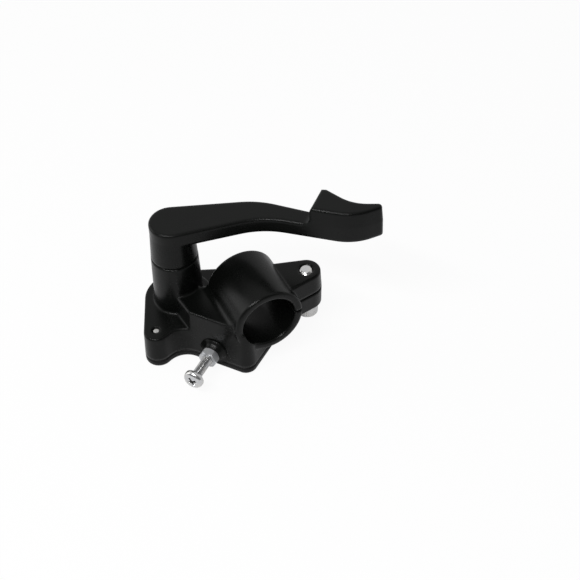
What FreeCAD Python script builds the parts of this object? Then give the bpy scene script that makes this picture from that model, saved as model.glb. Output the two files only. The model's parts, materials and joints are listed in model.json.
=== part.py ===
import FreeCAD, Part
import math
import os

# A thumb throttle unit for a handlebar, in millimetres.
# The origin is where the lever's pivot axis meets the plane the unit stands on; Z runs up the pivot axis
# and the lever's arm lies along X at rest.

# Bar clamp
bar_radius = 11.1
bar_clearance = 0.05
ring_wall = 3.12
barrel_length = 27.2
bar_angle = 24.6
bar_gap = 0.2
clamp_face_x = 36.0
clamp_face_y = -24.1
clamp_slit = 1.0
bore_chamfer = 0.5
barrel_rounding = 0.9

# Clamp ears
ear_half_height = 8.5
ear_tip_radius = 6.0
ear_root_radius = 9.2
ear_root_across = 8.0
ear_root_setback = 12.4
ear_draft = 0.3
clamp_bolt_reach = 21.6
clamp_bolt_setback = 11.3

# Clamp bolt
clamp_bolt_radius = 2.5
clamp_bolt_clearance = 0.25
clamp_head_radius = 4.25
clamp_head_height = 5.0
clamp_socket_flats = 4.0
clamp_socket_depth = 2.6
clamp_washer_radius = 4.55
clamp_washer_thickness = 1.1
clamp_bolt_proud = 0.3
clamp_bolt_chamfer = 0.5
clamp_hole_chamfer = 0.7
clamp_head_rounding = 0.6
washer_gap = 0.7
washer_gap_lean = 20.0
washer_gap_turn = 200.0

# Housing heights above the standing plane
cover_thickness = 3.5
gasket_thickness = 0.5
arm_headroom = 0.4
flange_rise = 3.6
box_rise = 9.2
tower_rise = 14.0
wall = 2.5
deck = 2.0
flange_deck = 2.6
draft_slope = 0.042

# Housing outline, seen from above
flange_radius = 14.3
lobe_x = -8.8
lobe_y = -18.8
lobe_radius = 5.4
notch_x = 1.9
notch_y = -26.9
notch_radius = 7.9
nose_x = 25.7
nose_y = -25.5
nose_radius = 4.7
side_x = 32.8
side_y = -6.0
side_radius = 8.0
rear_x = 28.5
rear_y = 12.5
rear_radius = 5.5
back_x = 2.0
back_radius = 6.5
box_corner_along = 11.9
box_corner_radius = 0.9
box_rear_y = -3.5
box_blend = 2.6
nose_drop = 3.1
edge_rounding = 0.6
foot_rounding = 0.9
rim_rounding = 0.3
box_left_x = -2.5
box_left_y = -7.2

# Shaft tower
tower_top_radius = 9.3
tower_foot_radius = 10.1
spring_pocket_radius = 7.8
bush_gap = 5.0
bush_radius = 5.2
bush_length = 4.4
washer_recess_depth = 0.8
washer_recess_radius = 7.6
hub_gap = 0.4
hub_washer_radius = 7.4

# Shaft
shaft_radius = 4.0
running_clearance = 0.03
knurl_interference = 0.03
shaft_thread_radius = 3.0
shaft_flats = 6.0
flat_clearance = 0.02
knurl_start = 2.0
knurl_end = 1.0
ring_groove_width = 2.2
washer_bore_clearance = 0.1
ring_section_radius = 0.94
ring_groove_radius = 3.25

# Lever
lever_hub_radius = 9.24
lever_hub_top_radius = 8.6
hub_height = 17.2
arm_thickness = 6.2
pad_rise = 7.8
shaft_hole_depth = 13.0
arm_rounding = 1.0
pad_rounding = 1.0
step_rounding = 2.8
pad_draft = 0.45
hub_rounding = 0.4
near_hollow = (34.0, -33.5, 32.0)
near_swell = (68.5, 10.3, 20.0)
tip_corner = (78.9, -5.0, 1.9)
thumb_hollow = (76.2, 13.1, 16.0)
horn_corner = (59.6, 4.7, 1.4)
far_swell = (28.0, -23.1, 32.8)
far_slope = 21.8
step_start = (53.4, -4.6)
step_end = (57.7, 5.2)

# Cable arm and its nut
arm_reach = 22.0
cable_arm_thickness = 2.0
cable_arm_top = 9.2
cable_arm_hub_radius = 8.4
nipple_boss_radius = 4.6
nipple_radius = 3.1
nipple_floor = 0.7
nipple_boss_rise = 0.2
nipple_boss_height = 6.2
wire_slot_width = 2.2
lever_travel = 40.0
stop_gap = 0.3
stop_post_radius = 1.5
stop_post_along = 12.0
stop_post_overlap = 0.4
tab_washer_thickness = 0.8
tab_washer_radius = 5.6
shaft_nut_flats = 10.0
shaft_nut_height = 2.9
shaft_thread_end = 3.1

# Return spring
spring_radius = 6.4
spring_wire_radius = 0.6
spring_turns = 5.0
spring_leg_length = 3.2
spring_head_room = 3.4
spring_leg_hole_radius = 0.72
spring_start_angle = 220.0
spring_leg_hole_gap = 0.6
spring_leg_bite = 1.6
sleeve_radius = 5.2
sleeve_end_gap = 0.2
sleeve_clearance = 0.1

# Limiter screw
limiter_past_reach = 1.2
limiter_along = arm_reach + limiter_past_reach
limiter_height = 8.1
limiter_radius = 2.0
limiter_clearance = 0.04
limiter_length = 25.0
limiter_head_radius = 4.0
limiter_head_height = 2.6
limiter_free_length = 9.8
limiter_boss_radius = 4.0
limiter_boss_height = 2.2
limiter_inner_boss = 1.5
limiter_chamfer = 0.5
limiter_head_rounding = 1.3
limiter_nut_flats = 7.0
limiter_nut_height = 3.2
recess_width = 1.0
recess_depth = 1.5
recess_reach = 2.2
recess_taper = 0.45

# Cover and its screws
cover_rounding = 1.6
cover_recess = 1.5
cover_screw_radius = 1.5
cover_screw_clearance = 0.2
cover_screw_head_radius = 2.8
cover_screw_head_height = 1.6
cover_screw_sink = 0.2
screw_boss_radius = 3.4
cover_recess_width = 0.7
cover_recess_depth = 1.2
cover_recess_reach = 1.5
screw_tip_chamfer = 0.4
screw_hole_depth_gap = 0.6
gasket_inset = 0.2
gasket_hole_clearance = 0.3
lobe_screw_end = 14.9
short_screw_end = 10.2
lobe_screw = (-8.9, -18.3)
nose_screw = (25.2, -24.8)
rear_screw = (28.5, 12.5)
screw_places = [lobe_screw, nose_screw, rear_screw]

# Cable inlet
inlet_radius = 2.6
inlet_boss_radius = 3.7
inlet_boss_length = 3.0
inlet_height = 7.15

V = FreeCAD.Vector
UP = V(0, 0, 1)

# Margins for cutting shapes: how far one runs past a face, and a length beyond any piece
overrun = 1.0
beyond_all = 60.0
skin = 0.02

# Sizes that follow from those above
floor_z = cover_thickness + gasket_thickness
bore_radius = bar_radius + bar_clearance
barrel_radius = bore_radius + ring_wall
nipple_boss_top = cable_arm_top + nipple_boss_rise
nipple_boss_bottom = nipple_boss_top - nipple_boss_height
low_deck_height = nipple_boss_top + arm_headroom + deck
flange_height = low_deck_height + flange_rise
box_height = flange_height + box_rise
nose_height = box_height - nose_drop
tower_height = box_height + tower_rise
bar_axis_height = low_deck_height + bar_gap + bar_radius
hub_bottom = tower_height + hub_gap
arm_top = hub_bottom + hub_height
pad_top = arm_top + pad_rise
upper_bush_z = tower_height - washer_recess_depth - bush_length
lower_bush_z = upper_bush_z - bush_gap - bush_length
ring_height = upper_bush_z - bush_gap / 2.0
spring_pocket_top = lower_bush_z
spring_bottom = cable_arm_top + spring_leg_length
spring_top = spring_pocket_top - spring_head_room
spring_leg_top = spring_pocket_top + spring_leg_bite
spring_leg_bottom = cable_arm_top - cable_arm_thickness - tab_washer_thickness
sleeve_top = spring_pocket_top - sleeve_end_gap


os.makedirs("parts", exist_ok=True)


def turned(angle, length=1.0):
    return V(length * math.cos(math.radians(angle)), length * math.sin(math.radians(angle)), 0)


def tangent_angle(first, second):
    dx = second[0] - first[0]
    dy = second[1] - first[1]
    lean = math.degrees(math.acos((first[2] - second[2]) / math.hypot(dx, dy)))
    return math.degrees(math.atan2(dy, dx)) - lean


def belt(circles, z, inset=0.0):
    # Circles run counter-clockwise; a negative radius makes the outline hollow there, and an outer corner
    # smaller than the inset becomes sharp.
    count = len(circles)
    angles = [tangent_angle(circles[i], circles[(i + 1) % count]) for i in range(count)]
    ends = []
    edges = []
    for i in range(count):
        x, y, r = circles[i]
        start = angles[i - 1]
        sweep = (angles[i] - start) % 360.0
        if r < 0:
            sweep = sweep - 360.0
        if 0 < r <= inset + 0.05:
            reach = (r - inset) / math.cos(math.radians(sweep / 2.0))
            corner = V(x, y, z) + turned(start + sweep / 2.0, reach)
            ends.append((corner, corner))
            continue
        centre = V(x, y, z)
        first = centre + turned(start, r - inset)
        middle = centre + turned(start + sweep / 2.0, r - inset)
        last = centre + turned(start + sweep, r - inset)
        edges.append(Part.Arc(first, middle, last).toShape())
        ends.append((first, last))
    for i in range(count):
        edges.append(Part.makeLine(ends[i][1], ends[(i + 1) % count][0]))
    return Part.Wire(Part.__sortEdges__(edges))


def prism(circles, z0, z1, inset0=0.0, inset1=0.0):
    if abs(inset0 - inset1) < 1e-9:
        return Part.Face(belt(circles, z0, inset0)).extrude(V(0, 0, z1 - z0))
    return Part.makeLoft([belt(circles, z0, inset0), belt(circles, z1, inset1)], True, True)


def drafted(circles, z0, z1):
    return prism(circles, z0, z1, (z0 - floor_z) * draft_slope, (z1 - floor_z) * draft_slope)


def rounded_at(shape, z, radius):
    edges = [e for e in shape.Edges if all(abs(v.Point.z - z) < 1e-4 for v in e.Vertexes)]
    edges = [e for e in edges if e.BoundBox.ZLength < 1e-3]
    return shape.makeFillet(radius, edges)


def tube(x, y, z0, z1, outer, inner):
    body = Part.makeCylinder(outer, z1 - z0, V(x, y, z0))
    return body.cut(Part.makeCylinder(inner, z1 - z0 + 2.0, V(x, y, z0 - 1.0)))


def rod(x, y, z0, z1, radius):
    return Part.makeCylinder(radius, z1 - z0, V(x, y, z0))


def hexagon(flats, height):
    radius = flats / 2.0 / math.cos(math.radians(30))
    points = [turned(60 * i + 30, radius) for i in range(7)]
    return Part.Face(Part.makePolygon(points)).extrude(V(0, 0, height))


def slab(corners):
    # A block over a plan, taller than any piece.
    return Part.Face(Part.makePolygon(corners + [corners[0]])).extrude(V(0, 0, 2 * beyond_all))


def revolved(points):
    corners = [V(r, 0, z) for r, z in points]
    face = Part.Face(Part.makePolygon(corners + [corners[0]]))
    return face.revolve(V(0, 0, 0), UP, 360)


def on_bar(shape):
    # From the clamp's own frame (X across the bar, Y along it, Z up) to the unit's frame.
    shape.rotate(V(0, 0, 0), UP, bar_angle)
    shape.translate(V(clamp_face_x, clamp_face_y, 0))
    return shape


def bar_cylinder(radius, y0, y1):
    return Part.makeCylinder(radius, y1 - y0, V(0, y0, bar_axis_height), V(0, 1, 0))


hub_circle = (0.0, 0.0, flange_radius)
lobe_circle = (lobe_x, lobe_y, lobe_radius)
notch_circle = (notch_x, notch_y, -notch_radius)
nose_circle = (nose_x, nose_y, nose_radius)
side_circle = (side_x, side_y, side_radius)
rear_circle = (rear_x, rear_y, rear_radius)
back_circle = (back_x, rear_y + rear_radius - back_radius, back_radius)
plan = [hub_circle, lobe_circle, notch_circle, nose_circle, side_circle, rear_circle, back_circle]

front_angle = tangent_angle(notch_circle, nose_circle)
front_out = turned(front_angle)
front_along = turned(front_angle + 90.0)
front_distance = V(nose_x, nose_y, 0).dot(front_out) + nose_radius


def on_front(along, depth, z=0.0):
    return front_along * along + front_out * (front_distance - depth) + V(0, 0, z)


def front_circle(along, radius):
    centre = on_front(along, radius)
    return (centre.x, centre.y, radius)


bar_along = V(-math.sin(math.radians(bar_angle)), math.cos(math.radians(bar_angle)), 0)
bar_across = V(math.cos(math.radians(bar_angle)), math.sin(math.radians(bar_angle)), 0)
clamp_face = V(clamp_face_x, clamp_face_y, 0)
# Where the housing's front wall runs into the barrel, a little behind the barrel's end face.
barrel_meeting = clamp_face - bar_across * (barrel_radius - 1.6) + bar_along * 0.6
box_end_along = barrel_meeting.dot(front_along)

box_plan = [
    (box_left_x + box_corner_radius, box_left_y, box_corner_radius),
    front_circle(box_corner_along + box_corner_radius, box_corner_radius),
    front_circle(box_end_along, box_corner_radius),
    (clamp_face_x - 8.0, clamp_face_y + 9.0, box_corner_radius),
    (clamp_face_x - 16.0, box_rear_y - box_corner_radius, box_corner_radius),
    (box_left_x + box_corner_radius, box_rear_y - box_corner_radius, box_corner_radius),
]
flange_plan = [hub_circle, lobe_circle, notch_circle, front_circle(box_corner_along + 3.0, 3.0)]
nose_plan = [
    front_circle(box_end_along - 6.0, 2.0),
    nose_circle,
    (clamp_face_x - 7.5, clamp_face_y + 5.0, 2.0),
]


def quarter_round(centre, radius, first, last):
    # A quarter circle about the centre, between two unit directions.
    middle = (first + last).normalize()
    return Part.Arc(centre + first * radius, centre + middle * radius, centre + last * radius).toShape()


def clamp_barrel():
    r = barrel_rounding
    out = V(1, 0, 0)
    back = V(0, 1, 0)
    front_ring = V(barrel_radius - r, r, 0)
    back_ring = V(barrel_radius - r, barrel_length - r, 0)
    profile = [
        Part.makeLine(V(0, 0, 0), front_ring - back * r),
        quarter_round(front_ring, r, back * -1, out),
        Part.makeLine(front_ring + out * r, back_ring + out * r),
        quarter_round(back_ring, r, out, back),
        Part.makeLine(back_ring + back * r, V(0, barrel_length, 0)),
        Part.makeLine(V(0, barrel_length, 0), V(0, 0, 0)),
    ]
    body = Part.Face(Part.Wire(profile)).revolve(V(0, 0, 0), back, 360)
    body.translate(V(0, 0, bar_axis_height))
    return on_bar(body)


def clamp_ears():
    tip = (clamp_bolt_reach, clamp_bolt_setback, ear_tip_radius)
    root = (ear_root_across, ear_root_setback, ear_root_radius)
    circles = [tip, root]
    top = bar_axis_height + ear_half_height
    bottom = bar_axis_height - ear_half_height
    upper = rounded_at(prism(circles, bar_axis_height, top, 0.0, ear_draft), top, edge_rounding)
    lower = rounded_at(prism(circles, bottom, bar_axis_height, ear_draft, 0.0), bottom, edge_rounding)
    return [on_bar(upper), on_bar(lower)]


def barrel_blend():
    # The hollow blend where the raised box meets the side of the barrel.
    r = box_blend
    rise = box_height - bar_axis_height
    centre = V(-math.sqrt((barrel_radius + r) ** 2 - (rise + r) ** 2), 0, box_height + r)
    to_axis = (V(0, 0, bar_axis_height) - centre).normalize()
    foot = centre - UP * r
    touch = centre + to_axis * r
    under = foot - UP
    inner = V(touch.x + 2.0 * overrun, 0, under.z)
    middle = (to_axis - UP).normalize()
    edges = [
        Part.Arc(foot, centre + middle * r, touch).toShape(),
        Part.makeLine(touch, inner),
        Part.makeLine(inner, under),
        Part.makeLine(under, foot),
    ]
    strip = Part.Face(Part.Wire(edges)).extrude(V(0, barrel_length, 0))
    inset = (box_height - floor_z) * draft_slope + skin
    window = prism(box_plan, under.z, touch.z + overrun, inset, inset)
    return on_bar(strip).common(window)


def foot_ring(z):
    # The hollow blend around the tower's foot on a level top.
    r = foot_rounding
    base = tower_radius_at(z)
    centre = V(base + r, 0, z + r)
    low = V(base + r, 0, z - overrun)
    core = V(base - overrun, 0, 0)
    edges = [
        quarter_round(centre, r, UP * -1, V(-1, 0, 0)),
        Part.makeLine(V(base, 0, z + r), V(core.x, 0, z + r)),
        Part.makeLine(V(core.x, 0, z + r), V(core.x, 0, low.z)),
        Part.makeLine(V(core.x, 0, low.z), low),
        Part.makeLine(low, V(base + r, 0, z)),
    ]
    return Part.Face(Part.Wire(edges)).revolve(V(0, 0, 0), UP, 360)


def tower_radius_at(z):
    share = (tower_height - z) / (tower_height - low_deck_height)
    return tower_top_radius + (tower_foot_radius - tower_top_radius) * share


def tower():
    root = low_deck_height - deck
    points = [
        (0, root),
        (tower_foot_radius, root),
        (tower_foot_radius, low_deck_height),
        (tower_top_radius, tower_height),
        (0, tower_height),
    ]
    return rounded_at(revolved(points), tower_height, rim_rounding)


limiter_face = on_front(limiter_along, -limiter_boss_height, limiter_height)
limiter_seat = limiter_face + front_out * limiter_nut_height
limiter_head_seat = limiter_seat + front_out * limiter_free_length
limiter_tip = limiter_head_seat - front_out * limiter_length

# The cable arm's angle when its boss has reached the limiter screw's tip, and its angle at rest.
tip_distance = limiter_tip.dot(front_out) - stop_gap
side_step = arm_reach - limiter_along
boss_depth = math.sqrt(nipple_boss_radius ** 2 - side_step ** 2)
full_angle = front_angle + 90.0 - math.degrees(math.asin((tip_distance - boss_depth) / arm_reach))
rest_angle = full_angle + lever_travel
nipple = turned(rest_angle, arm_reach)
wire_direction = turned(rest_angle + 90.0)
back_wall_y = rear_y + rear_radius
inlet_run = (back_wall_y - nipple.y) / wire_direction.y
inlet_centre = nipple + wire_direction * inlet_run + V(0, 0, inlet_height)


def inlet_cylinder(radius, before, after):
    start = inlet_centre - wire_direction * before
    return Part.makeCylinder(radius, before + after, start, wire_direction)


def limiter_cylinder(radius, start, length):
    return Part.makeCylinder(radius, length, start, front_out)


def above_floor(shape):
    size = 2.0 * beyond_all
    return shape.common(Part.makeBox(2.0 * size, 2.0 * size, size, V(-size, -size, floor_z)))


def stop_post():
    # The lever's rest stop: a post beside the cable arm's edge.
    lean = math.asin((cable_arm_hub_radius - nipple_boss_radius) / arm_reach)
    edge = (cable_arm_hub_radius - stop_post_along * math.sin(lean)) / math.cos(lean)
    offset = edge + (stop_post_radius + stop_gap) / math.cos(lean)
    place = turned(rest_angle, stop_post_along) + turned(rest_angle + 90.0, offset)
    bottom = cable_arm_top - cable_arm_thickness - stop_post_overlap
    return rod(place.x, place.y, bottom, low_deck_height - overrun, stop_post_radius)


def cavity():
    ceiling = low_deck_height - deck
    flange_ceiling = flange_height - flange_deck
    low = prism(plan, floor_z - overrun, ceiling, wall, wall)
    middle = prism(flange_plan, ceiling - overrun, flange_ceiling, wall, wall)
    high = prism(box_plan, ceiling - overrun, box_height - flange_deck, wall, wall)
    high = high.cut(rod(0, 0, flange_ceiling, box_height, tower_foot_radius + foot_rounding))
    space = low.fuse([middle, high])
    space = space.cut(on_bar(bar_cylinder(bore_radius + deck, -beyond_all, beyond_all)))
    for x, y in screw_places:
        space = space.cut(rod(x, y, 0.0, flange_height, screw_boss_radius))
    inner_end = on_front(limiter_along, wall + limiter_inner_boss, limiter_height)
    space = space.cut(limiter_cylinder(limiter_boss_radius, inner_end, wall + limiter_inner_boss))
    return space.cut(stop_post())


def housing_outside():
    solid = drafted(plan, floor_z, low_deck_height)
    for level_plan, top in ((flange_plan, flange_height), (box_plan, box_height), (nose_plan, nose_height)):
        solid = solid.fuse(rounded_at(drafted(level_plan, low_deck_height, top), top, edge_rounding))
    boss_start = on_front(limiter_along, wall, limiter_height)
    boss = limiter_cylinder(limiter_boss_radius, boss_start, wall + limiter_boss_height)
    inlet = inlet_cylinder(inlet_boss_radius, wall, inlet_boss_length)
    inset = foot_rounding + edge_rounding
    window_top = box_height + foot_rounding + overrun
    box_window = prism(box_plan, box_height - overrun, window_top, inset, inset)
    pieces = [tower(), clamp_barrel(), barrel_blend(), above_floor(boss), above_floor(inlet)]
    pieces += [foot_ring(box_height).common(box_window), foot_ring(flange_height), foot_ring(low_deck_height)]
    for piece in pieces + clamp_ears():
        solid = solid.fuse(piece)
    return solid


def bar_hole():
    hole = bar_cylinder(bore_radius, -beyond_all, beyond_all)
    for end, inward in ((0.0, V(0, 1, 0)), (barrel_length, V(0, -1, 0))):
        mouth = V(0, end, bar_axis_height)
        hole = hole.fuse(Part.makeCone(bore_radius + bore_chamfer, bore_radius, bore_chamfer, mouth, inward))
    slit = Part.makeBox(beyond_all, 2.0 * beyond_all, clamp_slit)
    slit.translate(V(0, -beyond_all, bar_axis_height - clamp_slit / 2.0))
    return on_bar(hole.fuse(slit))


def cover_screw_holes():
    holes = []
    for x, y in screw_places:
        top = flange_height + overrun if (x, y) == lobe_screw else short_screw_end + screw_hole_depth_gap
        holes.append(rod(x, y, 0.0, top, cover_screw_radius))
    return holes


def housing():
    solid = housing_outside().cut(cavity())
    limiter_start = on_front(limiter_along, wall + limiter_inner_boss + overrun, limiter_height)
    limiter_hole = limiter_cylinder(limiter_radius + limiter_clearance, limiter_start, 4.0 * wall)
    inlet_hole = inlet_cylinder(inlet_radius, 2.0 * wall, inlet_boss_length + overrun)
    cutters = [bar_hole(), clamp_bolt_hole(), tower_hollow(), limiter_hole, inlet_hole]
    for cutter in cutters + cover_screw_holes():
        solid = solid.cut(cutter)
    return solid.removeSplitter()


def clamp_bolt_hole():
    top = bar_axis_height + ear_half_height
    bottom = bar_axis_height - ear_half_height
    x = clamp_bolt_reach
    y = clamp_bolt_setback
    hole = rod(x, y, bottom - overrun, bar_axis_height, clamp_bolt_radius + clamp_bolt_clearance)
    hole = hole.fuse(rod(x, y, bar_axis_height - overrun, top + overrun, clamp_bolt_radius))
    depth = clamp_hole_chamfer + skin
    mouth = V(x, y, top - clamp_hole_chamfer)
    return on_bar(hole.fuse(Part.makeCone(clamp_bolt_radius, clamp_bolt_radius + depth, depth, mouth)))


def tower_hollow():
    above = tower_height + overrun
    pocket = rod(0, 0, low_deck_height - deck - overrun, spring_pocket_top, spring_pocket_radius)
    bush_bore = rod(0, 0, spring_pocket_top - overrun, above, bush_radius)
    washer_seat = rod(0, 0, tower_height - washer_recess_depth, above, washer_recess_radius)
    leg = turned(spring_angle(1.0), spring_radius)
    leg_end = spring_leg_top + spring_leg_hole_gap
    leg_hole = rod(leg.x, leg.y, spring_pocket_top - overrun, leg_end, spring_leg_hole_radius)
    return pocket.fuse([bush_bore, washer_seat, leg_hole])


def spring_angle(share):
    # The coil's angle at the given share of its height; it starts at the cable arm's leg.
    return rest_angle + spring_start_angle + share * spring_turns * 360.0


def bottom_cover():
    above = cover_thickness + overrun
    body = rounded_at(prism(plan, 0.0, cover_thickness), 0.0, cover_rounding)
    recess = prism(plan, cover_thickness - cover_recess, above, wall, wall)
    for x, y in screw_places:
        recess = recess.cut(rod(x, y, 0.0, above, screw_boss_radius))
    body = body.cut(recess)
    for x, y in screw_places:
        body = body.cut(rod(x, y, -overrun, above, cover_screw_radius + cover_screw_clearance))
        body = body.cut(rod(x, y, -overrun, cover_screw_sink, cover_screw_head_radius + cover_screw_clearance))
        body = body.cut(screw_head(x, y, cover_screw_clearance))
    return body


def screw_head(x, y, clearance):
    # The sunk head, flat side down.
    large = cover_screw_head_radius + clearance
    small = cover_screw_radius + clearance
    return Part.makeCone(large, small, cover_screw_head_height, V(x, y, cover_screw_sink))


def rectangle(half_length, half_width, z):
    corners = [
        V(-half_length, -half_width, z),
        V(half_length, -half_width, z),
        V(half_length, half_width, z),
        V(-half_length, half_width, z),
    ]
    return Part.makePolygon(corners + [corners[0]])


def cross_recess(depth, width, reach):
    # A tapered cross, point up, standing on its wide end at z = 0.
    wide = rectangle(reach, width / 2.0, 0.0)
    narrow = rectangle(reach * recess_taper, width / 2.0 * recess_taper, depth)
    first = Part.makeLoft([wide, narrow], True, True)
    second = first.copy()
    second.rotate(V(0, 0, 0), UP, 90)
    return first.fuse(second)


def cover_screw(x, y):
    end = lobe_screw_end if (x, y) == lobe_screw else short_screw_end
    r = cover_screw_radius
    chamfer = screw_tip_chamfer
    stem = rod(x, y, cover_screw_sink, end - chamfer, r)
    tip = Part.makeCone(r, r - chamfer, chamfer, V(x, y, end - chamfer))
    cross = cross_recess(cover_recess_depth, cover_recess_width, cover_recess_reach)
    cross.translate(V(x, y, cover_screw_sink - skin))
    return screw_head(x, y, 0.0).fuse([stem, tip]).cut(cross)


def cover_screws():
    return Part.makeCompound([cover_screw(x, y) for x, y in screw_places])


def cover_gasket():
    top = floor_z + overrun
    body = prism(plan, cover_thickness, floor_z, gasket_inset, gasket_inset)
    inner = prism(plan, cover_thickness - overrun, top, wall - gasket_inset, wall - gasket_inset)
    for x, y in screw_places:
        inner = inner.cut(rod(x, y, 0.0, top, screw_boss_radius - gasket_inset))
    body = body.cut(inner)
    for x, y in screw_places:
        body = body.cut(rod(x, y, 0.0, top, cover_screw_radius + gasket_hole_clearance))
    return body


def step_blend(start, along, left):
    # The hollow blend between the arm's top and the pad's side.
    r = step_rounding
    foot = start + UP * arm_top - along * beyond_all / 2.0
    outer = foot + left * r
    high = foot + UP * r
    inner = high - left * overrun
    edges = [
        quarter_round(outer + UP * r, r, UP * -1, left * -1),
        Part.makeLine(high, inner),
        Part.makeLine(inner, inner - UP * (r + arm_rounding)),
        Part.makeLine(inner - UP * (r + arm_rounding), outer - UP * arm_rounding),
        Part.makeLine(outer - UP * arm_rounding, outer),
    ]
    return Part.Face(Part.Wire(edges)).extrude(along * beyond_all)


def beside(point, along, side):
    # Everything on one side of a line seen from above.
    start = point - along * beyond_all
    end = point + along * beyond_all
    return slab([start, end, end + side * beyond_all, start + side * beyond_all])


def hollowed(circle):
    return (circle[0], circle[1], -circle[2])


def beyond_far_edge():
    # What lies behind the arm: past the swell's own circle, then past a straight line that leaves it.
    lean = math.radians(far_slope)
    outward = V(math.sin(lean), math.cos(lean), 0)
    onward = V(math.cos(lean), -math.sin(lean), 0)
    swell = V(far_swell[0], far_swell[1], 0)
    leaving = swell + outward * far_swell[2]
    behind = beside(leaving, onward, outward)
    bend = far_swell[2] * 0.3
    corner = leaving - outward * bend * 0.3
    above = leaving + outward * bend
    near_bend = slab([leaving, above, above - onward * bend, corner - onward * bend])
    round_part = near_bend.cut(rod(swell.x, swell.y, -overrun, 3 * beyond_all, far_swell[2]))
    straight_part = behind.common(beside(leaving, outward, onward))
    return straight_part.fuse(round_part)


def lever():
    arm_bottom = arm_top - arm_thickness
    hub_ring = (0.0, 0.0, lever_hub_top_radius)
    near_side = [hollowed(near_hollow), near_swell, tip_corner]
    outline = [hub_ring] + near_side + [hollowed(thumb_hollow), horn_corner, far_swell]
    start = V(step_start[0], step_start[1], 0)
    along = (V(step_end[0], step_end[1], 0) - start).normalize()
    left = V(-along.y, along.x, 0)
    behind = beyond_far_edge()
    arm = prism(outline, arm_bottom, arm_top).cut(behind)
    arm = arm.cut(beside(start - left * step_rounding, along, left * -1))
    arm = rounded_at(arm, arm_top, arm_rounding)
    middle = (arm_bottom + pad_top) / 2.0
    pad = prism(outline, arm_bottom, middle).fuse(prism(outline, middle, pad_top, 0.0, pad_draft))
    pad = rounded_at(pad.common(beside(start, along, left * -1)), pad_top, pad_rounding)
    step = step_blend(start, along, left).common(prism(outline, arm_bottom, pad_top)).cut(behind)
    neck_top = arm_bottom + overrun
    neck = revolved([
        (0, hub_bottom),
        (lever_hub_radius, hub_bottom),
        (lever_hub_top_radius, neck_top),
        (0, neck_top),
    ])
    body = arm.fuse([pad, step, rounded_at(neck, hub_bottom, hub_rounding)])
    body = body.cut(rod(0, 0, hub_bottom - overrun, hub_bottom + shaft_hole_depth, shaft_radius))
    return body.removeSplitter()


def between_flats(bottom, top, radius, flats):
    # A round of the given radius with two flats, lined up with the cable arm.
    body = rod(0, 0, bottom, top, radius)
    band = Part.makeBox(4 * radius, flats, top - bottom, V(-2 * radius, -flats / 2.0, bottom))
    band.rotate(V(0, 0, 0), UP, rest_angle)
    return body.common(band)


def lever_shaft():
    top = hub_bottom + shaft_hole_depth
    flats_bottom = cable_arm_top - cable_arm_thickness
    body = rod(0, 0, cable_arm_top, top, shaft_radius)
    knurl = rod(0, 0, hub_bottom + knurl_start, top - knurl_end, shaft_radius + knurl_interference)
    flats = between_flats(flats_bottom, cable_arm_top, shaft_radius, shaft_flats)
    thread = rod(0, 0, shaft_thread_end, flats_bottom, shaft_thread_radius)
    body = body.fuse([knurl, flats, thread])
    half = ring_groove_width / 2.0
    groove = tube(0, 0, ring_height - half, ring_height + half, shaft_radius + overrun, ring_groove_radius)
    return body.cut(groove)


def shaft_bush(z):
    return tube(0, 0, z, z + bush_length, bush_radius, shaft_radius + running_clearance)


def shaft_ring():
    return Part.makeTorus(ring_groove_radius + ring_section_radius, ring_section_radius, V(0, 0, ring_height))


def hub_washer():
    bottom = tower_height - washer_recess_depth
    bore = shaft_radius + washer_bore_clearance
    return tube(0, 0, bottom, hub_bottom - running_clearance, hub_washer_radius, bore)


def spring_sleeve():
    return tube(0, 0, cable_arm_top, sleeve_top, sleeve_radius, shaft_radius + sleeve_clearance)


def return_spring():
    height = spring_top - spring_bottom
    helix = Part.makeHelix(height / spring_turns, height, spring_radius)
    helix.rotate(V(0, 0, 0), UP, spring_angle(0.0))
    helix.translate(V(0, 0, spring_bottom))
    start = turned(spring_angle(0.0), spring_radius) + UP * spring_bottom
    finish = turned(spring_angle(1.0), spring_radius) + UP * spring_top
    section = Part.Wire(Part.makeCircle(spring_wire_radius, start, turned(spring_angle(0.0) + 90.0)))
    coil = Part.Wire(helix.Edges).makePipeShell([section], True, True)
    r = spring_wire_radius
    lower = rod(start.x, start.y, spring_leg_bottom, spring_bottom + r / 4.0, r)
    upper = rod(finish.x, finish.y, spring_top - r / 4.0, spring_leg_top, r)
    elbows = [Part.makeSphere(r, place) for place in (start, finish)]
    return coil.fuse(elbows + [lower, upper])


def cable_arm():
    bottom = cable_arm_top - cable_arm_thickness
    pocket_floor = nipple_boss_bottom + nipple_floor
    above = nipple_boss_top + overrun
    x = nipple.x
    y = nipple.y
    body = prism([(0.0, 0.0, cable_arm_hub_radius), (x, y, nipple_boss_radius)], bottom, cable_arm_top)
    body = body.fuse(rod(x, y, nipple_boss_bottom, nipple_boss_top, nipple_boss_radius))
    pocket = rod(x, y, pocket_floor, above, nipple_radius)
    slot = Part.makeBox(2 * nipple_boss_radius, wire_slot_width, above - pocket_floor)
    slot.translate(V(0, -wire_slot_width / 2.0, 0))
    slot.rotate(V(0, 0, 0), UP, rest_angle + 90.0)
    slot.translate(V(x, y, pocket_floor))
    hole_flats = shaft_flats + 2 * flat_clearance
    hole = between_flats(bottom - overrun, above, shaft_radius + flat_clearance, hole_flats)
    leg = turned(spring_angle(0.0), spring_radius)
    leg_hole = rod(leg.x, leg.y, bottom - overrun, above, spring_leg_hole_radius)
    return body.cut([pocket, slot, hole, leg_hole])


def arm_tab_washer():
    top = cable_arm_top - cable_arm_thickness
    bore = shaft_thread_radius + washer_bore_clearance
    return tube(0, 0, top - tab_washer_thickness, top, tab_washer_radius, bore)


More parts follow.
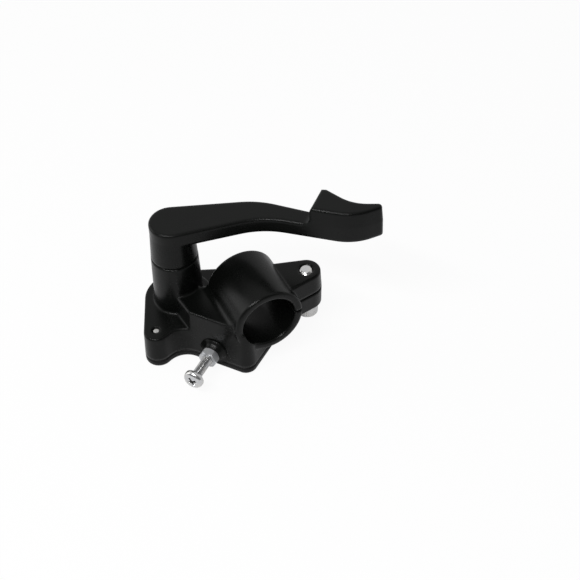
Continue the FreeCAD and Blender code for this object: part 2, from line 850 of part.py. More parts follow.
def shaft_nut():
    bottom = cable_arm_top - cable_arm_thickness - tab_washer_thickness - shaft_nut_height
    body = hexagon(shaft_nut_flats, shaft_nut_height)
    body.rotate(V(0, 0, 0), UP, rest_angle)
    body = body.common(crown(shaft_nut_flats / 2.0, shaft_nut_height))
    body.translate(UP * bottom)
    return body.cut(rod(0, 0, bottom - overrun, bottom + shaft_nut_height + overrun, shaft_thread_radius))


def crown(corner_radius, height):
    # Widens upward at 45 degrees, to trim a hexagon's lower corners.
    return Part.makeCone(corner_radius, corner_radius + height, height)


def clamp_bolt():
    bottom = bar_axis_height - ear_half_height - clamp_washer_thickness
    top = bar_axis_height + ear_half_height + clamp_bolt_proud
    foot = bottom - clamp_head_height
    r = clamp_bolt_radius
    chamfer = clamp_bolt_chamfer
    stem = rod(0, 0, bottom, top - chamfer, r)
    tip = Part.makeCone(r, r - chamfer, chamfer, V(0, 0, top - chamfer))
    head = rounded_at(rod(0, 0, foot, bottom, clamp_head_radius), foot, clamp_head_rounding)
    socket = hexagon(clamp_socket_flats, clamp_socket_depth + skin)
    socket.translate(UP * (foot - skin))
    body = head.fuse([stem, tip]).cut(socket)
    body.translate(V(clamp_bolt_reach, clamp_bolt_setback, 0))
    return on_bar(body)


def clamp_washer():
    # A spring washer, flattened, with its slanting gap.
    top = bar_axis_height - ear_half_height
    bottom = top - clamp_washer_thickness
    bore = clamp_bolt_radius + clamp_bolt_clearance
    body = tube(clamp_bolt_reach, clamp_bolt_setback, bottom, top, clamp_washer_radius, bore)
    reach = clamp_washer_radius + overrun
    gap = Part.makeBox(reach, washer_gap, reach, V(0, -washer_gap / 2.0, -reach / 2.0))
    gap.rotate(V(0, 0, 0), V(1, 0, 0), washer_gap_lean)
    gap.rotate(V(0, 0, 0), UP, washer_gap_turn)
    gap.translate(V(clamp_bolt_reach, clamp_bolt_setback, (top + bottom) / 2.0))
    return on_bar(body.cut(gap))


def along_limiter(shape, seat):
    # From upright at the origin to lying along the limiter's axis, its foot at the seat.
    shape.Placement = FreeCAD.Placement(seat, FreeCAD.Rotation(UP, front_out)).multiply(shape.Placement)
    return shape


def limiter_screw():
    r = limiter_radius
    chamfer = limiter_chamfer
    stem = rod(0, 0, chamfer - limiter_length, 0.0, r)
    tip = Part.makeCone(r - chamfer, r, chamfer, V(0, 0, -limiter_length))
    head = rod(0, 0, 0.0, limiter_head_height, limiter_head_radius)
    head = rounded_at(head, limiter_head_height, limiter_head_rounding)
    cross = cross_recess(recess_depth, recess_width, recess_reach)
    cross.rotate(V(0, 0, 0), V(1, 0, 0), 180)
    cross.translate(UP * (limiter_head_height + skin))
    return along_limiter(head.fuse([stem, tip]).cut(cross), limiter_head_seat)


def limiter_lock_nut():
    height = limiter_nut_height
    lower = crown(limiter_nut_flats / 2.0, height)
    upper = lower.copy()
    upper.rotate(V(0, 0, height / 2.0), V(1, 0, 0), 180)
    body = hexagon(limiter_nut_flats, height).common(lower).common(upper)
    body = body.cut(rod(0, 0, -overrun, height + overrun, limiter_radius + limiter_clearance))
    return along_limiter(body, limiter_face)


makers = {
    "housing": housing,
    "bottom_cover": bottom_cover,
    "cover_gasket": cover_gasket,
    "cover_screws": cover_screws,
    "lever": lever,
    "lever_shaft": lever_shaft,
    "upper_bush": lambda: shaft_bush(upper_bush_z),
    "lower_bush": lambda: shaft_bush(lower_bush_z),
    "shaft_ring": shaft_ring,
    "hub_washer": hub_washer,
    "spring_sleeve": spring_sleeve,
    "return_spring": return_spring,
    "cable_arm": cable_arm,
    "arm_tab_washer": arm_tab_washer,
    "shaft_nut": shaft_nut,
    "clamp_bolt": clamp_bolt,
    "clamp_washer": clamp_washer,
    "limiter_screw": limiter_screw,
    "limiter_lock_nut": limiter_lock_nut,
}

for name, make in makers.items():
    make().exportStep("parts/" + name + ".step")
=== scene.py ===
import json
import math

import bmesh
import bpy
from mathutils import Matrix, Vector


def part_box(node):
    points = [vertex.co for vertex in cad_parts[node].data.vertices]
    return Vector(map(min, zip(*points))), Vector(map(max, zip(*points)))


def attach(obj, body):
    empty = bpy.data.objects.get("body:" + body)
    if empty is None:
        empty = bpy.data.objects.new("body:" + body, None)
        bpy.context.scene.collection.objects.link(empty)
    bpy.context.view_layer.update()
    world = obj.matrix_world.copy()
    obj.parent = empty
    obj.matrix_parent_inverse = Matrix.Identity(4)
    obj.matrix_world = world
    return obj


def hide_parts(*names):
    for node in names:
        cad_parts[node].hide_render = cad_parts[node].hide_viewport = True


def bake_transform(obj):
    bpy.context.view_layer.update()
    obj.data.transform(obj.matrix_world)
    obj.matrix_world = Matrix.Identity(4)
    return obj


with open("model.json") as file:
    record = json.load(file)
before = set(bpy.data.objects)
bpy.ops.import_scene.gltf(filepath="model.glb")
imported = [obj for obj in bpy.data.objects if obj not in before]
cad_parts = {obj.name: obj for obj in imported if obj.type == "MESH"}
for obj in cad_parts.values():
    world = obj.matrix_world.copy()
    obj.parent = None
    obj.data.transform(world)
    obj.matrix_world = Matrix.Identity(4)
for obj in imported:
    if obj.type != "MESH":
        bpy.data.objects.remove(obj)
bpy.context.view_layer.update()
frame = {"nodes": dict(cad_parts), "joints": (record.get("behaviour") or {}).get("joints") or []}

# A thumb throttle unit: satin black castings with zinc plated screws, on a white studio floor.
# Lengths are in millimetres where no other unit is named, and MM turns them into metres.
MM = 0.001
UP = Vector((0, 0, 1))

# Limiter screw: a pan head with a cross recess on a threaded stem
LIMITER_RADIUS = 2.0
LIMITER_LENGTH = 25.0
LIMITER_PITCH = 0.7
LIMITER_SHOWING = 9.8
LIMITER_NECK = 0.4
LIMITER_HEAD = [(2.0, -0.05), (3.7, 0.0), (3.95, 0.12), (4.0, 0.35), (4.0, 1.15), (3.93, 1.55),
                (3.7, 1.95), (3.3, 2.28), (2.7, 2.48), (1.8, 2.57), (0.9, 2.6)]
RECESS_WIDTH = 1.0
RECESS_REACH = 2.2
RECESS_DEPTH = 1.5
RECESS_BEYOND = 0.3
RECESS_MOUTH_SHARE = 1.06
RECESS_FLOOR_SHARE = 0.45

# The lock nut and the boss that carry it, and the fillet at the boss's foot
NUT_HEIGHT = 3.2
BOSS_HEIGHT = 2.2
BOSS_RADIUS = 4.0
BLEND_RADIUS = 1.9
BLEND_STEPS = 10
BLEND_LIFT = 0.02
BLEND_ROOT = 0.3
BLEND_INSIDE = 0.4
BLEND_CREASE = 40.0

# Clamp screw: a knurled socket head, hanging under the ear, on a threaded stem
BOLT_X = 50.9355
BOLT_Y = -4.834
BOLT_RADIUS = 2.5
BOLT_PITCH = 0.8
BOLT_PLAIN_SHANK = 5.0
BOLT_HEAD_RADIUS = 4.25
BOLT_HEAD_HEIGHT = 5.0
BOLT_HEAD_ROUNDING = 0.6
BOLT_HEAD_RINGS = [0.0, 0.08, 0.2, 0.4, 0.6, 0.75, 1.5, 2.5, 3.5, 4.45, 4.55, 4.9, 5.0]
BOLT_SOCKET_FLATS = 4.0
BOLT_SOCKET_DEPTH = 2.6
BOLT_SOCKET_BEYOND = 0.5
BOLT_STEM_OVERLAP = 0.05
BOLT_KNURLS = 40
KNURL_SIDES = 6
KNURL_DEPTH = 0.13
KNURL_END = 0.5

# Threads and round heads of both screws; creases are in degrees
THREAD_DEPTH_PER_PITCH = 0.54
THREAD_RINGS_PER_PITCH = 8
THREAD_CREST = 1.25
THREAD_SLOPE = 1.5
THREAD_SIDES = 48
END_CHAMFER = 0.5
ROUND_SIDES = 72
CREASE = 32.0

# Return spring: a coil with a straight leg at each end, its start in degrees round the shaft
SPRING_RADIUS = 6.4
SPRING_WIRE_RADIUS = 0.6
SPRING_BOTTOM = 12.4
SPRING_TOP = 20.6
SPRING_LEG_BOTTOM = 6.4
SPRING_LEG_TOP = 25.6
SPRING_START = 230.7245
SPRING_TURNS = 5.0
SPRING_STEPS = 48
SPRING_SIDES = 12
SPRING_LEG_BENDS = (2.4, 0.9, 0.3)

# Every noise, and the part of its range that is stretched over a look's variation
NOISE_ROUGHNESS = 0.55
NOISE_LOW = 0.3
NOISE_HIGH = 0.7

# Paint: noise scales are per metre, depths and radii in metres, the painted highlight on edges
# starts and ends at these cosines of their turn, and roughness varies round its middle by the pair
# that is named
CLOUD_SCALE = 90.0
PEEL_SCALE = 750.0
GRAIN_SCALE = 2600.0
# The patches in which the painted edge highlight shows
EDGE_PATCH_SCALE = 500.0
EDGE_PATCH_SHARE = 0.7
CLOUD_LIFT = 1.25
PEEL_DEPTH = 0.006 * MM
GRAIN_SHARE = 0.35
# Painted highlight along the sharp edges: its reach, samples, and the turns where it starts and is
# full
EDGE_HIGHLIGHT_RADIUS = 0.3 * MM
EDGE_HIGHLIGHT_SAMPLES = 6
EDGE_HIGHLIGHT_FROM = 0.995
EDGE_HIGHLIGHT_FULLY = 0.9
CAST_EDGE = 1.5 * MM
CAST_EDGE_SAMPLES = 12
PAINT_SPECULAR = 0.15
PAINT_VARIES = (-0.03, 0.04)
BLACK = (0.0021, 0.0024, 0.0021)
COVER_BLACK = (0.0026, 0.0027, 0.0026)
# The lighter black of the painted edge highlight
EDGE_HIGHLIGHT_COLOUR = (0.013, 0.0132, 0.0132)

# Plated and turned metal, and the matt materials
TARNISH_SCALE = 260.0
PIT_SCALE = 3000.0
PIT_DEPTH = 0.002 * MM
# Painted shade on the plate: its colour falls to this share in grooves and corners within this reach
PAINTED_SHADE_REACH = 0.9 * MM
PAINTED_SHADE_SAMPLES = 8
PAINTED_SHADE_SHARE = 0.12
PLATE_VARIES = (-0.05, 0.09)
RING_SCALE = 900.0
RING_WANDER = 1.5
TURNED_CLOUD_SCALE = 300.0
TURNED_VARIES = (-0.05, 0.1)
DULL_GRAIN_FINER = 8.0
DULL_VARIES = (-0.06, 0.06)

# The camera, solved from the photograph: angles in radians, the rest in millimetres
CAMERA_PITCH = 0.798679
CAMERA_ROLL = 0.0466948
PIVOT_HEIGHT = 38.85
VIEW_RIGHT = -45.054
VIEW_DOWN = -14.158
VIEW_DISTANCE = 584.386
LENS = 93.1
SENSOR = 36.0
FARTHEST_SEEN = 50000.0

# The studio: the floor is in millimetres, the room's dark and white ends are shares of the
# way to the back, and each lamp has a place, an aim and a size in metres and a power in watts
FLOOR_SIZE = 6000.0
FLOOR_COLOUR = (0.88, 0.88, 0.88, 1.0)
FLOOR_ROUGHNESS = 0.9
FLOOR_SPECULAR = 0.1
FLOOR_WHITENESS = 0.93
FLOOR_REFLECTED = 0.2
SURROUNDING = (0.32, 0.32, 0.33, 1.0)
ROOM_BRIGHTNESS = 0.2
ROOM_DARK_BEFORE = -0.5
ROOM_WHITE_AFTER = 0.3
LAMPS = {
    "left_softbox": ((-0.62, 0.2, 0.3), (0.02, -0.01, 0.03), (0.4, 0.45), 0.8),
    "front_softbox": ((-0.22, -0.36, 0.7), (0.02, 0.0, 0.03), (0.6, 0.05), 5.0),
}


def noise(nodes, links, scale, detail=4.0):
    place = nodes.new("ShaderNodeTexCoord")
    node = nodes.new("ShaderNodeTexNoise")
    node.inputs["Scale"].default_value = scale
    node.inputs["Detail"].default_value = detail
    node.inputs["Roughness"].default_value = NOISE_ROUGHNESS
    links.new(place.outputs["Object"], node.inputs["Vector"])
    return node.outputs["Fac"]


def spread(nodes, links, value, low, high):
    """Stretches the middle of a noise over a range."""
    node = nodes.new("ShaderNodeMapRange")
    node.inputs["From Min"].default_value = NOISE_LOW
    node.inputs["From Max"].default_value = NOISE_HIGH
    node.inputs["To Min"].default_value = low
    node.inputs["To Max"].default_value = high
    links.new(value, node.inputs["Value"])
    return node.outputs["Result"]


def mixed(nodes, links, factor, first, second):
    node = nodes.new("ShaderNodeMix")
    node.data_type = "RGBA"
    links.new(factor, node.inputs["Factor"])
    for name, colour in (("A", first), ("B", second)):
        if isinstance(colour, tuple):
            node.inputs[name].default_value = colour + (1.0,)
        else:
            links.new(colour, node.inputs[name])
    return node.outputs["Result"]


def clouded(nodes, links, cloud, colour, other):
    return mixed(nodes, links, spread(nodes, links, cloud, 0.0, 1.0), colour, other)


def vary_gloss(nodes, links, shader, cloud, roughness, varies):
    gloss = spread(nodes, links, cloud, roughness + varies[0], roughness + varies[1])
    links.new(gloss, shader.inputs["Roughness"])


def soft_edges(nodes, radius, samples):
    """A normal that turns over sharp edges as an edge of this radius does."""
    bevel = nodes.new("ShaderNodeBevel")
    bevel.samples = samples
    bevel.inputs["Radius"].default_value = radius
    return bevel.outputs["Normal"]


def edge_mask(nodes, links):
    """1 along sharp edges, 0 on open faces."""
    place = nodes.new("ShaderNodeNewGeometry")
    dot = nodes.new("ShaderNodeVectorMath")
    dot.operation = "DOT_PRODUCT"
    links.new(soft_edges(nodes, EDGE_HIGHLIGHT_RADIUS, EDGE_HIGHLIGHT_SAMPLES), dot.inputs[0])
    links.new(place.outputs["Normal"], dot.inputs[1])
    turn = nodes.new("ShaderNodeMapRange")
    turn.inputs["From Min"].default_value = EDGE_HIGHLIGHT_FROM
    turn.inputs["From Max"].default_value = EDGE_HIGHLIGHT_FULLY
    links.new(dot.outputs["Value"], turn.inputs["Value"])
    return turn.outputs["Result"]


def openness(nodes, reach):
    """1 on open faces, down towards 0 in narrow grooves and corners."""
    shelter = nodes.new("ShaderNodeAmbientOcclusion")
    shelter.samples = PAINTED_SHADE_SAMPLES
    shelter.only_local = True
    shelter.inputs["Distance"].default_value = reach
    return shelter.outputs["AO"]


def bumped(nodes, links, heights, normal=None):
    """Chains bumps: pairs of a height output and its depth in metres."""
    for height, depth in heights:
        bump = nodes.new("ShaderNodeBump")
        bump.inputs["Strength"].default_value = 1.0
        bump.inputs["Distance"].default_value = depth
        links.new(height, bump.inputs["Height"])
        if normal:
            links.new(normal, bump.inputs["Normal"])
        normal = bump.outputs["Normal"]
    return normal


def new_material(name):
    material = bpy.data.materials.new(name)
    material.use_nodes = True
    tree = material.node_tree
    return material, tree.nodes, tree.links, tree.nodes["Principled BSDF"]


def paint(name, colour, roughness, grain=1.0):
    """Satin black paint over a casting: fine orange peel, faint clouds, and a painted highlight
    lightening its edges in patches.
    """
    material, nodes, links, shader = new_material(name)
    cloud = noise(nodes, links, CLOUD_SCALE, 3.0)
    fine = noise(nodes, links, GRAIN_SCALE, 3.0)
    peel = noise(nodes, links, PEEL_SCALE, 2.0)
    base = clouded(nodes, links, cloud, colour, tuple(CLOUD_LIFT * c for c in colour))
    # Painted highlight: sharp edges are mixed towards a lighter black, in noise patches
    painted_edge_highlight = nodes.new("ShaderNodeMath")
    painted_edge_highlight.operation = "MULTIPLY"
    links.new(edge_mask(nodes, links), painted_edge_highlight.inputs[0])
    edge_patches = spread(nodes, links, noise(nodes, links, EDGE_PATCH_SCALE), 0.0, EDGE_PATCH_SHARE)
    links.new(edge_patches, painted_edge_highlight.inputs[1])
    base = mixed(nodes, links, painted_edge_highlight.outputs["Value"], base, EDGE_HIGHLIGHT_COLOUR)
    links.new(base, shader.inputs["Base Color"])
    vary_gloss(nodes, links, shader, cloud, roughness, PAINT_VARIES)
    shader.inputs["Specular IOR Level"].default_value = PAINT_SPECULAR
    depth = PEEL_DEPTH * grain
    heights = [(peel, depth), (fine, depth * GRAIN_SHARE)]
    rounded = soft_edges(nodes, CAST_EDGE, CAST_EDGE_SAMPLES)
    links.new(bumped(nodes, links, heights, rounded), shader.inputs["Normal"])
    return material


def plated(name, colour, tint, roughness):
    """Zinc plate: a metal with tinted clouds, fine pits and painted shade that darkens its grooves
    and corners.
    """
    material, nodes, links, shader = new_material(name)
    cloud = noise(nodes, links, TARNISH_SCALE)
    fine = noise(nodes, links, PIT_SCALE, 3.0)
    plate = clouded(nodes, links, cloud, colour, tint)
    # Painted shade: the plate's colour goes darker in grooves and corners, where the openness falls
    painted_groove_shade = tuple(PAINTED_SHADE_SHARE * c for c in colour)
    base = mixed(nodes, links, openness(nodes, PAINTED_SHADE_REACH), painted_groove_shade, plate)
    links.new(base, shader.inputs["Base Color"])
    vary_gloss(nodes, links, shader, cloud, roughness, PLATE_VARIES)
    shader.inputs["Metallic"].default_value = 1.0
    links.new(bumped(nodes, links, [(fine, PIT_DEPTH)]), shader.inputs["Normal"])
    return material


def turned_metal(name, colour, tint, roughness):
    """Machined metal with fine turning rings up its height."""
    material, nodes, links, shader = new_material(name)
    place = nodes.new("ShaderNodeTexCoord")
    wave = nodes.new("ShaderNodeTexWave")
    wave.bands_direction = "Z"
    wave.inputs["Scale"].default_value = RING_SCALE
    wave.inputs["Distortion"].default_value = RING_WANDER
    links.new(place.outputs["Object"], wave.inputs["Vector"])
    cloud = noise(nodes, links, TURNED_CLOUD_SCALE)
    links.new(clouded(nodes, links, cloud, colour, tint), shader.inputs["Base Color"])
    vary_gloss(nodes, links, shader, cloud, roughness, TURNED_VARIES)
    shader.inputs["Metallic"].default_value = 1.0
    links.new(bumped(nodes, links, [(wave.outputs["Fac"], PIT_DEPTH)]), shader.inputs["Normal"])
    return material


def dull(name, colour, other, roughness, scale, depth):
    """Rubber, gasket board or moulded plastic: matt and mottled, its grain's depth in millimetres."""
    material, nodes, links, shader = new_material(name)
    cloud = noise(nodes, links, scale)
    fine = noise(nodes, links, scale * DULL_GRAIN_FINER)
    links.new(clouded(nodes, links, cloud, colour, other), shader.inputs["Base Color"])
    vary_gloss(nodes, links, shader, fine, roughness, DULL_VARIES)
    links.new(bumped(nodes, links, [(fine, depth * MM)]), shader.inputs["Normal"])
    return material


def mesh_object(name, vertices, faces, smooth=True):
    """An object from points in millimetres."""
    mesh = bpy.data.meshes.new(name)
    mesh.from_pydata([tuple(c * MM for c in v) for v in vertices], [], faces)
    mesh.update()
    for polygon in mesh.polygons:
        polygon.use_smooth = smooth
    piece = bpy.data.objects.new(name, mesh)
    bpy.context.scene.collection.objects.link(piece)
    return piece


def rows_to_faces(rows, count):
    """Faces for rings of equal count, with a face over each end."""
    faces = []
    for i in range(rows - 1):
        for j in range(count):
            k = (j + 1) % count
            faces.append((i * count + j, i * count + k, (i + 1) * count + k, (i + 1) * count + j))
    faces.append(tuple(reversed(range(count))))
    faces.append(tuple((rows - 1) * count + j for j in range(count)))
    return faces


def lathe(name, points, count, radius_at=None):
    """A body of revolution through (radius, height) points; radius_at may change the radius."""
    vertices = []
    for r, z in points:
        for j in range(count):
            angle = 2 * math.pi * j / count
            reach = radius_at(r, z, angle) if radius_at else r
            vertices.append((reach * math.cos(angle), reach * math.sin(angle), z))
    return mesh_object(name, vertices, rows_to_faces(len(points), count))


def threaded_rod(name, radius, pitch, bottom, top, thread_bottom, thread_top, chamfers):
    """A screw's stem with a true helical thread; chamfers are those of its two ends."""
    steps = int((top - bottom) / pitch * THREAD_RINGS_PER_PITCH) + 1
    points = [(radius, bottom + (top - bottom) * i / (steps - 1)) for i in range(steps)]
    depth = THREAD_DEPTH_PER_PITCH * pitch

    def radius_at(r, z, angle):
        if thread_bottom < z < thread_top:
            phase = (z / pitch - angle / (2 * math.pi)) % 1.0
            groove = THREAD_CREST - abs(2 * phase - 1) * THREAD_SLOPE
            groove = min(1.0, max(0.0, groove))
            fade = min(1.0, (z - thread_bottom) / pitch, (thread_top - z) / pitch)
            r = radius - depth * groove * fade
        if chamfers[0]:
            r = min(r, radius - chamfers[0] + (z - bottom))
        if chamfers[1]:
            r = min(r, radius - chamfers[1] + (top - z))
        return r

    return lathe(name, points, THREAD_SIDES, radius_at)


def combine(piece, other, operation):
    """Cuts or adds one mesh to another, for good."""
    modifier = piece.modifiers.new("combine", "BOOLEAN")
    modifier.operation = operation
    modifier.solver = "EXACT"
    modifier.object = other
    evaluated = piece.evaluated_get(bpy.context.evaluated_depsgraph_get())
    shaped = bpy.data.meshes.new_from_object(evaluated)
    piece.modifiers.remove(modifier)
    piece.data = shaped
    bpy.data.objects.remove(other)


def joined(name, parts):
    """One object from several, their meshes side by side."""
    builder = bmesh.new()
    for part in parts:
        builder.from_mesh(part.data)
    mesh = bpy.data.meshes.new(name)
    builder.to_mesh(mesh)
    builder.free()
    for part in parts:
        bpy.data.objects.remove(part)
    piece = bpy.data.objects.new(name, mesh)
    bpy.context.scene.collection.objects.link(piece)
    return piece


def smooth_by_angle(piece, degrees):
    """Soft shading, with a hard line wherever the surface turns by more than the angle."""
    mesh = piece.data
    mesh.polygons.foreach_set("use_smooth", [True] * len(mesh.polygons))
    mesh.set_sharp_from_angle(angle=math.radians(degrees))


def cross_cutter():
    """The cross-shaped recess of a screw head, standing point up at z = 0."""
    half = RECESS_WIDTH / 2
    outline = ((-RECESS_REACH, -half), (RECESS_REACH, -half),
               (RECESS_REACH, half), (-RECESS_REACH, half))
    faces = [(3, 2, 1, 0), (4, 5, 6, 7), (0, 1, 5, 4), (1, 2, 6, 5), (2, 3, 7, 6), (3, 0, 4, 7)]
    arms = []
    for turn in (0.0, math.pi / 2):
        corners = []
        for z, share in ((-RECESS_BEYOND, RECESS_MOUTH_SHARE), (RECESS_DEPTH, RECESS_FLOOR_SHARE)):
            for x, y in outline:
                corner = Vector((x * share, y * share, z))
                corners.append(Matrix.Rotation(turn, 4, "Z") @ corner)
        arms.append(mesh_object("recess_arm", corners, faces, False))
    combine(arms[0], arms[1], "UNION")
    return arms[0]


def lay_along(piece, seat, direction):
    """Takes a piece from upright at the origin to a direction, its origin at the seat."""
    turn = UP.rotation_difference(direction).to_matrix().to_4x4()
    piece.data.transform(Matrix.Translation(seat * MM) @ turn)


def dress(piece, material, body, slot, *nodes):
    """Gives a new piece its material and body, and hides the CAD nodes that it stands for; the slot
    is not used.
    """
    piece.data.materials.clear()
    piece.data.materials.append(material)
    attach(piece, body)
    if nodes:
        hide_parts(*nodes)


def limiter_line():
    """The middle of the lock nut, in millimetres, and the direction in which the screw points."""
    travel = next(j for j in frame["joints"] if j["name"] == "limiter_travel")
    low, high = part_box("limiter_lock_nut")
    return (low + high) / 2 / MM, Vector(travel["axis"]).normalized()


def limiter_screw(material):
    nut, out = limiter_line()
    stem = threaded_rod("stem", LIMITER_RADIUS, LIMITER_PITCH, -LIMITER_LENGTH, 0.0,
                        -LIMITER_LENGTH, -LIMITER_NECK, (END_CHAMFER, 0))
    head = lathe("head", LIMITER_HEAD, ROUND_SIDES)
    cutter = cross_cutter()
    crown = LIMITER_HEAD[-1][1]
    upside_down = Matrix.Rotation(math.pi, 4, "X")
    cutter.data.transform(Matrix.Translation((0, 0, crown * MM)) @ upside_down)
    combine(head, cutter, "DIFFERENCE")
    screw = joined("limiter_screw_threaded", [stem, head])
    smooth_by_angle(screw, CREASE)
    lay_along(screw, nut + out * (NUT_HEIGHT / 2 + LIMITER_SHOWING), out)
    dress(screw, material, "limiter", "zinc_steel", "limiter_screw")


def boss_blend(material):
    """The fillet where the limiter screw's boss grows out of the front wall."""
    nut, out = limiter_line()
    inside = BOSS_RADIUS - BLEND_INSIDE
    points = [(inside, -BLEND_ROOT), (BOSS_RADIUS + BLEND_RADIUS, -BLEND_ROOT)]
    for i in range(BLEND_STEPS + 1):
        angle = math.pi / 2 * i / BLEND_STEPS
        radius = BOSS_RADIUS + BLEND_LIFT + BLEND_RADIUS * (1 - math.sin(angle))
        points.append((radius, BLEND_LIFT + BLEND_RADIUS * (1 - math.cos(angle))))
    points.append((inside, points[-1][1]))
    blend = lathe("limiter_boss_blend", points, ROUND_SIDES)
    smooth_by_angle(blend, BLEND_CREASE)
    lay_along(blend, nut - out * (NUT_HEIGHT / 2 + BOSS_HEIGHT), out)
    dress(blend, material, "unit", "black_casting")


def clamp_screw(material):
    low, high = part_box("clamp_bolt")
    foot = Vector((BOLT_X * MM, BOLT_Y * MM, low.z))
    grip = (high.z - low.z) / MM
    stem = threaded_rod("stem", BOLT_RADIUS, BOLT_PITCH, BOLT_HEAD_HEIGHT - BOLT_STEM_OVERLAP, grip,
                        BOLT_HEAD_HEIGHT + BOLT_PLAIN_SHANK, grip + BOLT_PITCH, (0, END_CHAMFER))

    def radius_at(r, z, angle):
        if z < BOLT_HEAD_ROUNDING:
            drop = max(0.0, BOLT_HEAD_ROUNDING ** 2 - (BOLT_HEAD_ROUNDING - z) ** 2)
            r = BOLT_HEAD_RADIUS - BOLT_HEAD_ROUNDING + math.sqrt(drop)
        elif z < BOLT_HEAD_HEIGHT - KNURL_END:
            teeth = angle * BOLT_KNURLS / (2 * math.pi)
            r = r - KNURL_DEPTH * abs(2 * (teeth % 1.0) - 1)
        return r

    rings = [(BOLT_HEAD_RADIUS, z) for z in BOLT_HEAD_RINGS]
    head = lathe("head", rings, BOLT_KNURLS * KNURL_SIDES, radius_at)
    corner = BOLT_SOCKET_FLATS / 2 / math.cos(math.pi / 6)
    vertices = []
    for z in (-BOLT_SOCKET_BEYOND, BOLT_SOCKET_DEPTH):
        for j in range(6):
            angle = math.pi / 3 * j + math.pi / 6
            vertices.append((corner * math.cos(angle), corner * math.sin(angle), z))
    combine(head, mesh_object("socket", vertices, rows_to_faces(2, 6), False), "DIFFERENCE")
    screw = joined("clamp_screw_threaded", [stem, head])
    smooth_by_angle(screw, CREASE)
    screw.data.transform(Matrix.Translation(foot))
    dress(screw, material, "unit", "zinc_steel", "clamp_bolt")


def on_coil(angle, z):
    return Vector((SPRING_RADIUS * math.cos(angle), SPRING_RADIUS * math.sin(angle), z))


def return_spring(material):
    """A coil of round wire with a straight leg at each end, built in one fixed shape; the real spring
    winds up as the lever turns.
    """
    start = math.radians(SPRING_START)
    finish = start + SPRING_TURNS * 2 * math.pi
    route = [on_coil(start, SPRING_LEG_BOTTOM)]
    for gap in SPRING_LEG_BENDS:
        route.append(on_coil(start, SPRING_BOTTOM - gap))
    steps = int(SPRING_TURNS * SPRING_STEPS)
    for i in range(2, steps - 1):
        share = i / steps
        height = SPRING_BOTTOM + (SPRING_TOP - SPRING_BOTTOM) * share
        route.append(on_coil(start + (finish - start) * share, height))
    for gap in reversed(SPRING_LEG_BENDS):
        route.append(on_coil(finish, SPRING_TOP + gap))
    route.append(on_coil(finish, SPRING_LEG_TOP))
    vertices = []
    side = Vector((math.cos(start), math.sin(start), 0))
    for i, point in enumerate(route):
        ahead = route[min(i + 1, len(route) - 1)] - route[max(i - 1, 0)]
        ahead.normalize()
        side = (side - ahead * side.dot(ahead)).normalized()
        other = ahead.cross(side)
        for j in range(SPRING_SIDES):
            angle = 2 * math.pi * j / SPRING_SIDES
            around = side * math.cos(angle) + other * math.sin(angle)
            vertices.append(point + around * SPRING_WIRE_RADIUS)
    spring = mesh_object("return_spring_coil", vertices, rows_to_faces(len(route), SPRING_SIDES))
    spring.data.materials.append(material)
    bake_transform(spring)
    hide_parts("return_spring")


def seen_share(nodes, links):
    """The share of plain white in the floor: most from the camera, little in reflections."""
    path = nodes.new("ShaderNodeLightPath")
    total = None
    for kind, share in (("Is Camera Ray", FLOOR_WHITENESS), ("Is Glossy Ray", FLOOR_REFLECTED)):
        scaled = nodes.new("ShaderNodeMath")
        scaled.operation = "MULTIPLY_ADD"
        links.new(path.outputs[kind], scaled.inputs[0])
        scaled.inputs[1].default_value = share
        scaled.inputs[2].default_value = 0.0
        if total:
            links.new(total, scaled.inputs[2])
        total = scaled.outputs["Value"]
    return total


def studio_floor():
    """A white floor that shows white and still takes the object's shadow."""
    half = FLOOR_SIZE / 2
    corners = [(-half, -half, 0), (half, -half, 0), (half, half, 0), (-half, half, 0)]
    floor = mesh_object("studio_floor", corners, [(0, 1, 2, 3)])
    material, nodes, links, shader = new_material("studio_white")
    shader.inputs["Base Color"].default_value = FLOOR_COLOUR
    shader.inputs["Roughness"].default_value = FLOOR_ROUGHNESS
    shader.inputs["Specular IOR Level"].default_value = FLOOR_SPECULAR
    glow = nodes.new("ShaderNodeEmission")
    mix = nodes.new("ShaderNodeMixShader")
    links.new(seen_share(nodes, links), mix.inputs["Fac"])
    links.new(shader.outputs["BSDF"], mix.inputs[1])
    links.new(glow.outputs["Emission"], mix.inputs[2])
    links.new(mix.outputs["Shader"], nodes["Material Output"].inputs["Surface"])
    floor.data.materials.append(material)


def surroundings():
    """White to the camera; in reflections a room that is white at the back and dim in front."""
    world = bpy.data.worlds.new("studio_world")
    bpy.context.scene.world = world
    world.use_nodes = True
    nodes = world.node_tree.nodes
    links = world.node_tree.links
    around = nodes["Background"]
    around.inputs["Color"].default_value = SURROUNDING
    place = nodes.new("ShaderNodeTexCoord")
    parts = nodes.new("ShaderNodeSeparateXYZ")
    links.new(place.outputs["Generated"], parts.inputs["Vector"])
    fall = nodes.new("ShaderNodeMapRange")
    fall.interpolation_type = "SMOOTHSTEP"
    fall.inputs["From Min"].default_value = ROOM_DARK_BEFORE
    fall.inputs["From Max"].default_value = ROOM_WHITE_AFTER
    fall.inputs["To Min"].default_value = ROOM_BRIGHTNESS
    fall.inputs["To Max"].default_value = 1.0
    links.new(parts.outputs["Y"], fall.inputs["Value"])
    room = nodes.new("ShaderNodeBackground")
    links.new(fall.outputs["Result"], room.inputs["Strength"])
    white = nodes.new("ShaderNodeBackground")
    path = nodes.new("ShaderNodeLightPath")
    shown = around.outputs["Background"]
    for kind, background in (("Is Glossy Ray", room), ("Is Camera Ray", white)):
        mix = nodes.new("ShaderNodeMixShader")
        links.new(path.outputs[kind], mix.inputs["Fac"])
        links.new(shown, mix.inputs[1])
        links.new(background.outputs["Background"], mix.inputs[2])
        shown = mix.outputs["Shader"]
    links.new(shown, nodes["World Output"].inputs["Surface"])


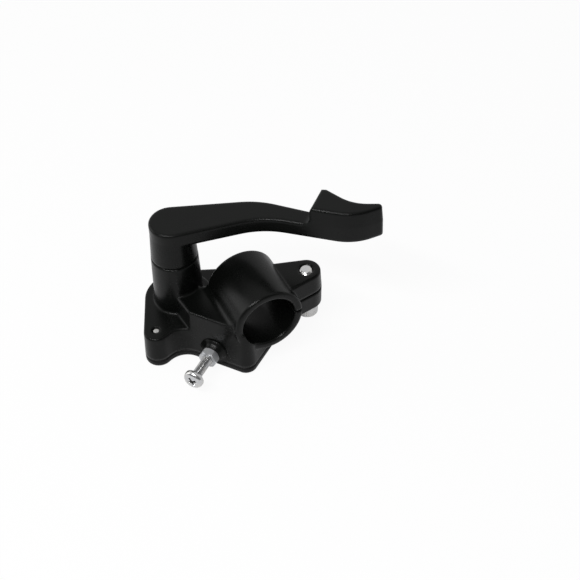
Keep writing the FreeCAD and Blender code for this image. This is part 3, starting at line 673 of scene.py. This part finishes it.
def soft_light(name, place, aim, size, watts):
    light = bpy.data.lights.new(name, "AREA")
    light.shape = "RECTANGLE"
    light.size, light.size_y = size
    light.energy = watts
    lamp = bpy.data.objects.new(name, light)
    bpy.context.scene.collection.objects.link(lamp)
    lamp.location = place
    lamp.rotation_euler = (Vector(aim) - Vector(place)).to_track_quat("-Z", "Y").to_euler()


def camera():
    """The photograph's view: tilted down and rolled, looking past the lever's pivot."""
    down_axis = Vector((0, -math.sin(CAMERA_PITCH), -math.cos(CAMERA_PITCH)))
    ahead = Vector((0, math.cos(CAMERA_PITCH), -math.sin(CAMERA_PITCH)))
    right = Vector((1, 0, 0)) * math.cos(CAMERA_ROLL) + down_axis * math.sin(CAMERA_ROLL)
    down = Vector((-1, 0, 0)) * math.sin(CAMERA_ROLL) + down_axis * math.cos(CAMERA_ROLL)
    pivot = Vector((0, 0, PIVOT_HEIGHT))
    place = pivot - right * VIEW_RIGHT - down * VIEW_DOWN - ahead * VIEW_DISTANCE
    data = bpy.data.cameras.new("camera")
    data.sensor_width = SENSOR
    data.lens = LENS
    data.clip_end = FARTHEST_SEEN * MM
    eye = bpy.data.objects.new("camera", data)
    bpy.context.scene.collection.objects.link(eye)
    turn = Matrix((right, -down, -ahead)).transposed().to_4x4()
    eye.matrix_world = Matrix.Translation(place * MM) @ turn
    bpy.context.scene.camera = eye


casting_paint = paint("satin_black_casting", BLACK, 0.27)
lever_paint = paint("satin_black_lever", BLACK, 0.27, 0.8)
cover_paint = paint("satin_black_cover", COVER_BLACK, 0.4, 1.3)
zinc = plated("zinc_plate", (0.56, 0.57, 0.59), (0.66, 0.65, 0.62), 0.24)
nut_zinc = plated("zinc_nut", (0.56, 0.58, 0.61), (0.64, 0.64, 0.64), 0.5)
wire = plated("spring_wire", (0.16, 0.16, 0.17), (0.24, 0.23, 0.22), 0.34)
machined = turned_metal("machined_steel", (0.42, 0.42, 0.43), (0.5, 0.5, 0.5), 0.3)
bronze = turned_metal("sintered_bronze", (0.42, 0.26, 0.12), (0.5, 0.34, 0.18), 0.45)
nylon = dull("white_nylon", (0.62, 0.62, 0.58), (0.7, 0.7, 0.66), 0.45, 300.0, 0.002)
rubber = dull("black_rubber", (0.012, 0.012, 0.012), (0.02, 0.02, 0.02), 0.6, 400.0, 0.004)
gasket_board = dull("gasket_board", (0.012, 0.012, 0.012), (0.022, 0.021, 0.02), 0.8, 500.0, 0.01)

finishes = {
    "housing": casting_paint,
    "lever": lever_paint,
    "bottom_cover": cover_paint,
    "cover_gasket": gasket_board,
    "cover_screws": zinc,
    "lever_shaft": machined,
    "upper_bush": bronze,
    "lower_bush": bronze,
    "shaft_ring": rubber,
    "hub_washer": nylon,
    "spring_sleeve": nylon,
    "cable_arm": zinc,
    "arm_tab_washer": zinc,
    "shaft_nut": zinc,
    "clamp_washer": zinc,
    "limiter_lock_nut": nut_zinc,
}
for node, material in finishes.items():
    mesh = frame["nodes"][node].data
    mesh.materials.clear()
    mesh.materials.append(material)

limiter_screw(zinc)
boss_blend(casting_paint)
clamp_screw(zinc)
return_spring(wire)
studio_floor()
surroundings()
for name, (place, aim, size, watts) in LAMPS.items():
    soft_light(name, place, aim, size, watts)
camera()
bpy.context.scene.view_settings.view_transform = "Standard"
